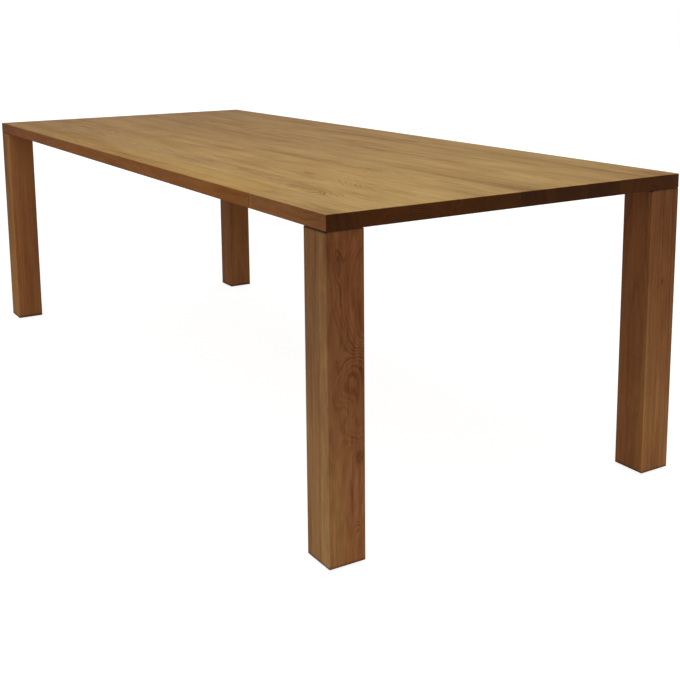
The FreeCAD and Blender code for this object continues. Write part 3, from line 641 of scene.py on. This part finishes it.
BOARD_SWELLS = {
    "leg_front_right_lamella_1": EYE_BOARD,
    "leg_front_right_lamella_2": (
        mark(0.64, -HALF_LEG, 0.09, 0.02, 0.014, level=-0.008, shade=0.22),
        mark(0.30, -HALF_LEG, 0.10, 0.02, 0.014, level=0.010, shade=-0.14),
        mark(0.06, -HALF_LEG, 0.06, 0.02, shade=0.15)),
    "leg_front_right_lamella_3": (
        mark(0.43, -HALF_LEG, 0.08, 0.02, shade=0.25),
        mark(0.29, -HALF_LEG, 0.04, 0.02, shade=-0.15),
        mark(0.12, -HALF_LEG, 0.11, 0.02, shade=0.2)),
    "leg_front_left_lamella_3": (
        mark(0.62, HALF_LEG, 0.16, 0.03, 0.025, shade=-0.35),),
    "leg_back_right_lamella_1": (
        PALE_FOOT,
        mark(0.40, HALF_LEG, 0.6, 0.02, shade=0.14)),
    "leg_back_right_lamella_2": (
        PALE_FOOT,
        mark(0.489, HALF_LEG, 0.012, 0.02, 0.008, rings=2.0, knot=0.6, shade=0.2),
        mark(0.19, HALF_LEG, 0.05, 0.02, 0.004, shade=-0.35, warmth=-0.8)),
    "leg_back_right_lamella_3": (
        PALE_FOOT,
        mark(0.25, HALF_LEG, 0.3, 0.02, 0.005, level=-0.012, shade=-0.25, warmth=-0.8),
        mark(0.45, 0.046, 0.35, 0.005, 0.013, shade=-0.08),
        on_face(0.20, 0.032, 0.60, 0.012, 0.010, shade=0.18),
        on_face(LEG_TOP, 0.02, 0.07, 0.03, 0.010, shade=0.1)),
}
LIVELY_MOTTLE = (14.0, 70.0, 70.0)
BOARD_VALUES = {
    "leg_front_right_lamella_1": {"Pith": (0.0, -0.04, 0.2), "Contrast": 0.2, "Streak": 0.35,
                                  "Mottle": 1.1, "Mottle stretch": LIVELY_MOTTLE},
    "leg_back_right_lamella_3": {"Contrast": 0.28, "Streak": 0.6, "Line": 0.4, "Mottle": 0.6},
}
print("lamellae with marks of their own:", len(BOARD_SWELLS))

# %% Dressing the legs
LEG_PALE, LEG_DEEP, LEG_END = rgb(172, 115, 69), rgb(110, 65, 33), rgb(92, 54, 28)
LEG_GRAIN = {"Grain axis": (0, 0, 1), "Face axis": (1, 0, 0), "Ring width": 0.0042, "Wander": 0.05,
             "Wave": 2.0, "Streak": 0.7, "Mottle stretch": CALM_MOTTLE, "Dash": 0.18, "End": LEG_END}
LEG_CONTRAST, LEG_LINE = 0.5, 0.8
LAMELLA_TONES = {1: 1.02, 2: 1.0, 3: 0.98}
LEG_SEED, LAMELLA_SEED = (5.3, 2.3, 0.0), (1.9, 0.0, 0.83)
PITH_STEP, PITH_START, PITH_DEPTH = 0.012, -0.03, 0.11
FOOT_DARKNESS = 0.8
TOP_LINE_REACH = Vector((1.0, 0.005, 0.008))


def line_under_top(leg, origin, face):
    """A line of painted shade at the upper end of a leg's front or back face, which lies at y = face."""
    place = leg.turn @ Vector((0.0, face - origin[1], LEG_TOP))
    reach = leg.turn @ TOP_LINE_REACH
    return Swell(tuple(place), tuple(abs(step) for step in reach), knot=leg.top_line)


for leg_number, leg in enumerate(LEGS):
    names = {number: f"leg_{leg.corner}_lamella_{number}" for number in LAMELLA_TONES}
    boxes = [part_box(name) for name in names.values()]
    leg_faces = min(low.y for low, high in boxes), max(high.y for low, high in boxes)
    # A thin line of painted shade along the eased foot.
    foot_line = band(LEG_FOOT, leg.foot_line, knot=FOOT_DARKNESS)
    for number, name in names.items():
        low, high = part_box(name)
        origin = ((low.x + high.x) / 2, (low.y + high.y) / 2, 0.0)
        steps = zip(LEG_SEED, LAMELLA_SEED)
        tone = LAMELLA_TONES[number] * leg.tone
        values = {**LEG_GRAIN,
                  "Seed": tuple(leg_number * first + number * second for first, second in steps),
                  "Pith": (0.0, PITH_STEP * number + PITH_START, PITH_DEPTH),
                  "Contrast": LEG_CONTRAST * leg.lively, "Line": LEG_LINE * leg.lively,
                  "Mottle": leg.lively, "Side": leg.side,
                  "Pale": toned(LEG_PALE, tone), "Deep": toned(LEG_DEEP, tone),
                  **BOARD_VALUES.get(name, {})}
        # Lines of painted shade under the top, on the front and back faces.
        top_lines = tuple(line_under_top(leg, origin, face) for face in leg_faces)
        swells = EVERY_LEG + (foot_line,) + top_lines + leg.swells + BOARD_SWELLS.get(name, ())
        dress(name, board_material("oak_" + name, leg.turn, origin, values, swells, leg.sheen))
print("legs:", len(LEGS) * len(LAMELLA_TONES), "lamellae dressed")

# %% [markdown]
# ## Steel, brass and nylon
#
# The leg plates and channels are powder coated: a thick dull black skin with a faint orange-peel surface.
# The screws, bolts and washers are zinc plated, a grey metal that clouds a little bluish and yellowish.
# The threaded inserts are turned from brass, and the glides under the legs are moulded nylon, scuffed by
# floors. Each could have a tree of its own, but all four are one recipe with other numbers: two colours in
# clouds, a range of dullness and a fine relief.

# %% Small finishes
Finish = namedtuple("Finish", "clean worn cloud_size dullness metal grain_size relief")
FINISHES = {
    "black_steel": Finish(
        clean=(0.022, 0.022, 0.024, 1), worn=(0.038, 0.037, 0.036, 1), cloud_size=0.11,
        dullness=(0.42, 0.56), metal=0, grain_size=0.0024, relief=0.0003),
    "zinc_steel": Finish(
        clean=(0.56, 0.58, 0.60, 1), worn=(0.66, 0.63, 0.57, 1), cloud_size=0.006,
        dullness=(0.28, 0.44), metal=1, grain_size=0.0006, relief=0.00004),
    "insert_brass": Finish(
        clean=(0.70, 0.52, 0.23, 1), worn=(0.56, 0.39, 0.15, 1), cloud_size=0.008,
        dullness=(0.26, 0.40), metal=1, grain_size=0.0005, relief=0.00004),
    "nylon": Finish(
        clean=(0.15, 0.095, 0.055, 1), worn=(0.21, 0.15, 0.10, 1), cloud_size=0.012,
        dullness=(0.45, 0.62), metal=0, grain_size=0.0009, relief=0.0001),
}
WORN_FROM_TO, DULL_FROM_TO = (0.35, 0.72), (0.3, 0.75)
RELIEF_STRENGTH = 0.4


def small_finish(name, finish):
    material, tree, surface, place = new_material(name)
    patches = cloud(tree, place, [1 / finish.cloud_size] * 3, *FINE)
    grain = cloud(tree, place, [1 / finish.grain_size] * 3, roughness=0.6)
    colour = mix(tree, between(tree, patches, *WORN_FROM_TO), finish.clean, finish.worn)
    dullness = between(tree, patches, *DULL_FROM_TO, *finish.dullness)
    bump = {"Strength": RELIEF_STRENGTH, "Distance": finish.relief, "Height": grain}
    cover(tree, surface, colour, dullness, bump)
    feed(tree, surface, {"Metallic": finish.metal})
    return material


finishes = {slot: small_finish(slot, finish) for slot, finish in FINISHES.items()}
for name, slot in slot_of.items():
    if slot in finishes:
        dress(name, finishes[slot])
print("small finishes:", {slot: list(slot_of.values()).count(slot) for slot in finishes}, "nodes")

# %% [markdown]
# ## Turned parts from a rolled grid
#
# A bolt could be joined from cylinders and cones, but then its faces only lie on each other. A lathe makes
# it from one piece, and so does this tree: it starts with a flat grid, rolls every row into a ring, and
# gives each ring a radius and a height. The first and last rings of a bolt have no radius, which closes
# it. A hexagon socket is a ring whose radius changes with the angle. A thread is a run of rings that climb
# one pitch in each turn, where every fourth ring dips into the groove, so that the end of one turn meets
# the start of the next.

# %% Helpers for turned parts: sockets and threads
SIDES = 24
ROWS_A_TURN = 4
SOCKET_CONE = 0.12
EASE = 0.0002
Thread = namedtuple("Thread", "at rows radius height")


def half(tree, size):
    return times(tree, size, 0.5)


def hexagon(tree, angle, across_flats):
    sixth = math.tau / 6
    from_flat = minus(tree, calc(tree, "MODULO", angle, sixth), sixth / 2)
    return calc(tree, "DIVIDE", half(tree, across_flats), calc(tree, "COSINE", from_flat))


def socket_rings(tree, angle, across_flats, depth, level):
    """The rings of a hexagon socket, from the middle of its floor to its eased mouth, at a level."""
    wall = hexagon(tree, angle, across_flats)
    floor_level = plus(tree, level, depth)
    cone_level = plus(tree, floor_level, times(tree, across_flats, SOCKET_CONE))
    return [(0.0, cone_level), (wall, floor_level), (wall, plus(tree, level, EASE)),
            (plus(tree, wall, EASE), level)]


def cut_thread(tree, sizes, row, angle, at, radius, low, high):
    """A run of rings that climbs from low to high as a helix, with a groove that fades at both ends."""
    pitch = sizes["Pitch"]
    turns = calc(tree, "CEIL", calc(tree, "DIVIDE", minus(tree, high, low), pitch))
    rows = plus(tree, times(tree, turns, ROWS_A_TURN), ROWS_A_TURN)
    step = minus(tree, row, at)
    climbed = plus(tree, calc(tree, "DIVIDE", step, ROWS_A_TURN), calc(tree, "DIVIDE", angle, math.tau))
    height = plus(tree, low, times(tree, minus(tree, climbed, 1.0), pitch))
    height = calc(tree, "MINIMUM", calc(tree, "MAXIMUM", height, low), high)
    to_end = calc(tree, "MINIMUM", minus(tree, height, low), minus(tree, high, height))
    fade = calc(tree, "DIVIDE", to_end, pitch, clamp=True)
    groove = times(tree, calc(tree, "PINGPONG", step, ROWS_A_TURN / 2), 2 / ROWS_A_TURN)
    groove = times(tree, groove, fade, sizes["Thread depth"])
    return Thread(at, plus(tree, rows, 1.0), minus(tree, radius, groove), height)


print("turned parts:", SIDES, "sides, eased by", EASE * 1000, "mm")

# %% [markdown]
# The rings come as a list of radius and height. A grid point only knows its own number, so an Index Switch
# looks up both for its row. Then every part is copied to its points, spun by an angle of its own, because
# a hand leaves each bolt turned differently.

# %% Helpers for turned parts: rolling and placing
MERGE_DISTANCE = 1e-6
SPIN_SEED = 7


def pick(tree, index, choices):
    made = add(tree, "GeometryNodeIndexSwitch", data_type="FLOAT")
    while len(made.index_switch_items) < len(choices):
        made.index_switch_items.new()
    feed(tree, made, enumerate((index, *choices)))
    return made.outputs[0]


def roll(tree, row, angle, rings, thread=None):
    """Roll a grid into rings. A thread, where there is one, takes the place of a single ring."""
    at, more_rows = (thread.at, minus(tree, thread.rows, 1.0)) if thread else (0, 0.0)
    past = calc(tree, "MAXIMUM", minus(tree, row, plus(tree, more_rows, at)), 0.0)
    ring = plus(tree, calc(tree, "MINIMUM", row, at), past)
    radius, height = (pick(tree, ring, choices) for choices in zip(*rings))
    x, y = (times(tree, radius, calc(tree, side, angle)) for side in ("COSINE", "SINE"))
    counts = {"Vertices X": plus(tree, more_rows, float(len(rings))), "Vertices Y": SIDES + 1}
    grid = add(tree, "GeometryNodeMeshGrid", counts).outputs["Mesh"]
    places = {"Geometry": grid, "Position": point(tree, x, y, height)}
    rolled = add(tree, "GeometryNodeSetPosition", places).outputs[0]
    seam = {"Geometry": rolled, "Distance": MERGE_DISTANCE}
    closed = add(tree, "GeometryNodeMergeByDistance", seam).outputs[0]
    return add(tree, "GeometryNodeFlipFaces", {"Mesh": closed}).outputs[0]


def turning_tree(name, sizes):
    """A new tree, its inputs and its end, with the row of each grid point and its angle round the axis."""
    floats = {size: "Float" for size in (*sizes, "Flip")}
    inputs = {"Points": "Geometry", **floats, "Material": "Material"}
    tree, given, result = new_group(name, inputs, {"Mesh": "Geometry"}, "GeometryNodeTree")
    index = add(tree, "GeometryNodeInputIndex").outputs[0]
    row = calc(tree, "FLOOR", calc(tree, "DIVIDE", index, SIDES + 1))
    angle = times(tree, calc(tree, "MODULO", index, SIDES + 1), math.tau / SIDES)
    return tree, given, result, row, angle


def finish_tree(tree, given, result, part):
    """Put the part on every point, each spun by its own angle, and hand back the finished tree."""
    limits = {"Max": math.tau, "Seed": SPIN_SEED}
    spin = add(tree, "FunctionNodeRandomValue", limits, data_type="FLOAT").outputs["Value"]
    turn = point(tree, given["Flip"], 0.0, spin)
    placed = {"Points": given["Points"], "Instance": part, "Rotation": turn}
    copies = add(tree, "GeometryNodeInstanceOnPoints", placed).outputs[0]
    real = add(tree, "GeometryNodeRealizeInstances", {"Geometry": copies}).outputs[0]
    finish = {"Geometry": real, "Material": given["Material"]}
    feed(tree, result, {"Mesh": add(tree, "GeometryNodeSetMaterial", finish).outputs[0]})
    return tree


print("turned parts: a seam closes within", MERGE_DISTANCE, "m")

# %% [markdown]
# ## Three trees: button bolt, countersunk screw, washer
#
# A button bolt has a low round head with a hexagon socket and a machine thread. Its seat, where the head
# meets the washer, is at height zero. A countersunk screw has a flat head that sinks into the plate, a
# plain neck, a coarse wood thread and a point, and its head's flat is at height zero. A washer is a ring
# with eased edges.

# %% Button bolt
CROWN_STEPS, BULGE = (0.25, 0.5, 0.75), 0.45


def part_way(tree, first, second, share, extra):
    return plus(tree, first, times(tree, minus(tree, second, first), share), extra)


tree, sizes, result, row, angle = turning_tree("button_bolt", (
    "Head diameter", "Head height", "Rim height", "Lip", "Socket", "Socket depth", "Diameter", "Length",
    "Pitch", "Thread depth"))
head, shank = half(tree, sizes["Head diameter"]), half(tree, sizes["Diameter"])
crown, rim = (times(tree, sizes[name], -1.0) for name in ("Head height", "Rim height"))
flat = plus(tree, times(tree, sizes["Socket"], 1 / math.sqrt(3)), sizes["Lip"])
bulge = times(tree, minus(tree, rim, crown), BULGE)
rings = socket_rings(tree, angle, sizes["Socket"], sizes["Socket depth"], crown) + [(flat, crown)]
for share in CROWN_STEPS:
    lift = times(tree, bulge, share * (1 - share))
    sink = times(tree, lift, -1.0)
    rings.append((part_way(tree, flat, head, share, lift), part_way(tree, crown, rim, share, sink)))
rings += [(head, rim), (head, -EASE), (minus(tree, head, EASE), 0.0), (shank, 0.0)]
core, tip = (minus(tree, size, sizes["Thread depth"]) for size in (shank, sizes["Length"]))
thread = cut_thread(tree, sizes, row, angle, len(rings), shank, sizes["Pitch"], tip)
rings += [(thread.radius, thread.height), (core, sizes["Length"]), (0.0, sizes["Length"])]
button_bolt = finish_tree(tree, sizes, result, roll(tree, row, angle, rings, thread))
print("button bolt:", len(tree.nodes), "nodes")

# %% Countersunk screw
tree, sizes, result, row, angle = turning_tree("countersunk_screw", (
    "Head diameter", "Socket", "Socket depth", "Diameter", "Length", "Neck", "Pitch", "Thread depth"))
head, shank = half(tree, sizes["Head diameter"]), half(tree, sizes["Diameter"])
edge = minus(tree, head, EASE)
rings = socket_rings(tree, angle, sizes["Socket"], sizes["Socket depth"], 0.0)
rings += [(edge, 0.0), (edge, EASE), (shank, minus(tree, head, shank))]
tip = minus(tree, sizes["Length"], sizes["Diameter"])
thread = cut_thread(tree, sizes, row, angle, len(rings), shank, sizes["Neck"], tip)
rings += [(thread.radius, thread.height), (0.0, sizes["Length"])]
countersunk_screw = finish_tree(tree, sizes, result, roll(tree, row, angle, rings, thread))
print("countersunk screw:", len(tree.nodes), "nodes")

# %% Washer
tree, sizes, result, row, angle = turning_tree("flat_washer", ("Outer diameter", "Bore", "Thickness"))
outer, bore = half(tree, sizes["Outer diameter"]), half(tree, sizes["Bore"])
bottom = times(tree, sizes["Thickness"], -1.0)
above_bottom = plus(tree, bottom, EASE)
outer_flat, bore_flat = minus(tree, outer, EASE), plus(tree, bore, EASE)
rings = [(bore_flat, bottom), (outer_flat, bottom), (outer, above_bottom), (outer, -EASE),
         (outer_flat, 0.0), (bore_flat, 0.0), (bore, -EASE), (bore, above_bottom), (bore_flat, bottom)]
flat_washer = finish_tree(tree, sizes, result, roll(tree, row, angle, rings))
print("washer:", len(tree.nodes), "nodes")

# %% [markdown]
# ## Putting the fasteners in their places
#
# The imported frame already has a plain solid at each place. Its box gives the place, the outer diameter and
# the length, so only what a box can't tell is written here. A modifier's inputs are set by the identifier
# of each socket. Then the result is turned into a plain mesh, because a model that leaves Blender has no
# modifiers.

# %% Places of the fasteners
Solid = namedtuple("Solid", "x y low high wide")


def solids_of(name):
    """The place and size of each separate solid in a node, from a merged copy of its mesh."""
    copy = bmesh.new()
    copy.from_mesh(nodes[name].data)
    bmesh.ops.remove_doubles(copy, verts=copy.verts, dist=MERGE_DISTANCE)
    waiting, found = set(copy.verts), []
    while waiting:
        reached = [waiting.pop()]
        for vertex in reached:
            others = {edge.other_vert(vertex) for edge in vertex.link_edges} & waiting
            waiting -= others
            reached.extend(others)
        xs, ys, zs = zip(*(vertex.co for vertex in reached))
        middle = (min(xs) + max(xs)) / 2, (min(ys) + max(ys)) / 2
        found.append(Solid(*middle, min(zs), max(zs), max(xs) - min(xs)))
    copy.free()
    return sorted(found)


fasteners = [name for name in slot_of if name.endswith(("_bolts", "_washers", "_screws"))]
print("fasteners found:", {name: len(solids_of(name)) for name in fasteners})

# %% Making the fasteners of a node
SHARP_FROM = math.radians(35)


def put_fasteners(name, tree, values, level, flip=0.0):
    """Make one mesh of a node's fasteners: level is the height of their zero above the solid's low end."""
    solids = solids_of(name)
    points = bpy.data.meshes.new("points_" + name)
    points.from_pydata([(solid.x, solid.y, solid.low + level) for solid in solids], [], [])
    piece = into_scene("turned_" + name, points)
    maker = piece.modifiers.new("maker", "NODES")
    maker.node_group = tree
    values = {**values, "Flip": flip, "Material": finishes[slot_of[name]]}
    for item in tree.interface.items_tree:
        if item.name in values:
            maker[item.identifier] = values[item.name]
    made = bpy.data.meshes.new_from_object(piece.evaluated_get(bpy.context.evaluated_depsgraph_get()))
    piece.modifiers.clear()
    piece.data = made
    made.shade_smooth()
    made.set_sharp_from_angle(angle=SHARP_FROM)
    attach(piece, "root")
    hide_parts(name)
    print(piece.name, len(solids), "pieces,", len(made.polygons), "faces")


# %% Bolts and washers
MM = 0.001
BoltFamily = namedtuple("BoltFamily",
                        "name diameter length head_height socket socket_depth pitch thread_depth")
BOLT_FAMILIES = (BoltFamily("plate", 8.0, 20.0, 4.4, 5.0, 2.6, 1.25, 0.65),
                 BoltFamily("channel", 6.0, 16.0, 3.3, 4.0, 2.0, 1.0, 0.5))
BUTTON_RIM, BUTTON_LIP, WASHER_ROOM = 1.2, 1.5, 0.5


def family_sizes(family, *fields):
    """Fields of a family as the inputs of a tree, which have the same words, in metres."""
    return {field.replace("_", " ").capitalize(): getattr(family, field) * MM for field in fields}


for family in BOLT_FAMILIES:
    bolts, washers = family.name + "_bolts", family.name + "_washers"
    bolt_sizes = {"Head diameter": solids_of(bolts)[0].wide, "Rim height": BUTTON_RIM * MM,
                  "Lip": BUTTON_LIP * MM, **family_sizes(family, *family._fields[1:])}
    put_fasteners(bolts, button_bolt, bolt_sizes, bolt_sizes["Head height"])
    ring = solids_of(washers)[0]
    thickness = ring.high - ring.low
    bore = (family.diameter + 2 * WASHER_ROOM) * MM
    washer_sizes = {"Outer diameter": ring.wide, "Bore": bore, "Thickness": thickness}
    put_fasteners(washers, flat_washer, washer_sizes, thickness)

# %% Screws
ScrewFamily = namedtuple("ScrewFamily",
                         "name head_up diameter socket socket_depth neck pitch thread_depth")
SCREW_FAMILIES = (ScrewFamily("leg_screws", True, 7.0, 4.0, 2.5, 26.0, 3.0, 0.9),
                  ScrewFamily("glide_screws", False, 4.0, 2.5, 1.6, 9.0, 1.8, 0.5))

for family in SCREW_FAMILIES:
    screw = solids_of(family.name)[0]
    length = screw.high - screw.low
    screw_sizes = {"Head diameter": screw.wide, "Length": length,
                   **family_sizes(family, *family._fields[2:])}
    level, flip = (length, math.pi) if family.head_up else (0.0, 0.0)
    put_fasteners(family.name, countersunk_screw, screw_sizes, level, flip)

# %% [markdown]
# ## Light, floor and background
#
# The portrait has a white ground and soft light: strong from above, gentler from the front, least from the
# end. Two low strips stand for the light that a bright floor throws back at the legs. A white ground could
# come from more light, but that would bleach the wood. So the floor and the world show white to the camera
# and to reflections, and light the table only at a plain level.

# %% Lamps
SoftLamp = namedtuple("SoftLamp", "name place aim wide high watts")
SOFT_LAMPS = (SoftLamp("overhead", (1.0, -0.45, 3.0), (0.8, -0.35, 0.7), 2.6, 1.6, 38),
              SoftLamp("front_high", (0.6, -3.6, 3.6), (0.2, 0.0, 0.4), 2.0, 2.0, 20),
              SoftLamp("front_low", (0.1, -1.05, 0.06), (0.1, 0.0, 0.06), 3.4, 0.1, 2.2),
              SoftLamp("end_low", (1.75, 0.0, 0.06), (0.0, 0.0, 0.06), 1.8, 0.1, 1.1))

for soft in SOFT_LAMPS:
    lamp = bpy.data.lights.new(soft.name, "AREA")
    lamp.shape, lamp.size, lamp.size_y, lamp.energy = "RECTANGLE", soft.wide, soft.high, soft.watts
    turn = (Vector(soft.aim) - Vector(soft.place)).to_track_quat("-Z", "Y").to_matrix().to_4x4()
    holder = into_scene(soft.name, lamp)
    holder.matrix_world = Matrix.Translation(soft.place) @ turn
    holder.visible_camera = False
print("light:", len(SOFT_LAMPS), "soft lamps,", sum(soft.watts for soft in SOFT_LAMPS), "watts in all")

# %% World
AMBIENT = 0.38
WHITE = (1, 1, 1, 1)


def seen_directly(tree):
    """One for the rays that show the ground itself: from the camera, off metal and through glass."""
    path = add(tree, "ShaderNodeLightPath").outputs
    seen = calc(tree, "MAXIMUM", path["Is Camera Ray"], path["Is Glossy Ray"])
    return calc(tree, "MAXIMUM", seen, path["Is Transmission Ray"])


world = bpy.data.worlds.new("studio")
world.use_nodes = True
bpy.context.scene.world = world
tree = world.node_tree
strength = between(tree, seen_directly(tree), 0.0, 1.0, AMBIENT, 1.0)
feed(tree, tree.nodes["Background"], {"Color": WHITE, "Strength": strength})
print("world: white to the camera, and", AMBIENT, "of that as light")

# %% Floor
FLOOR_REACH, FLOOR_DROP = 30.0, 0.0005
FLOOR_GREY, FLOOR_DULLNESS = (0.4, 0.4, 0.4, 1), 0.95
GLOW_FROM_TO, GLOW_LEVELS = (2.0, 4.5), (0.89, 1.0)

corners = [(x * FLOOR_REACH, y * FLOOR_REACH, 0) for x, y in ((-1, -1), (1, -1), (1, 1), (-1, 1))]
floor_mesh = bpy.data.meshes.new("floor")
floor_mesh.from_pydata(corners, [], [range(len(corners))])
floor = into_scene("floor", floor_mesh)
floor.location.z = -FLOOR_DROP
paper, tree, surface, place = new_material("paper_floor")
away = between(tree, vector(tree, "LENGTH", place), *GLOW_FROM_TO, *GLOW_LEVELS)
glow = times(tree, seen_directly(tree), away)
feed(tree, surface, {"Base Color": FLOOR_GREY, "Roughness": FLOOR_DULLNESS, "Specular IOR Level": 0.0,
                     "Emission Color": WHITE, "Emission Strength": glow})
floor_mesh.materials.append(paper)
print("floor:", 2 * FLOOR_REACH, "m square, pale and dull")
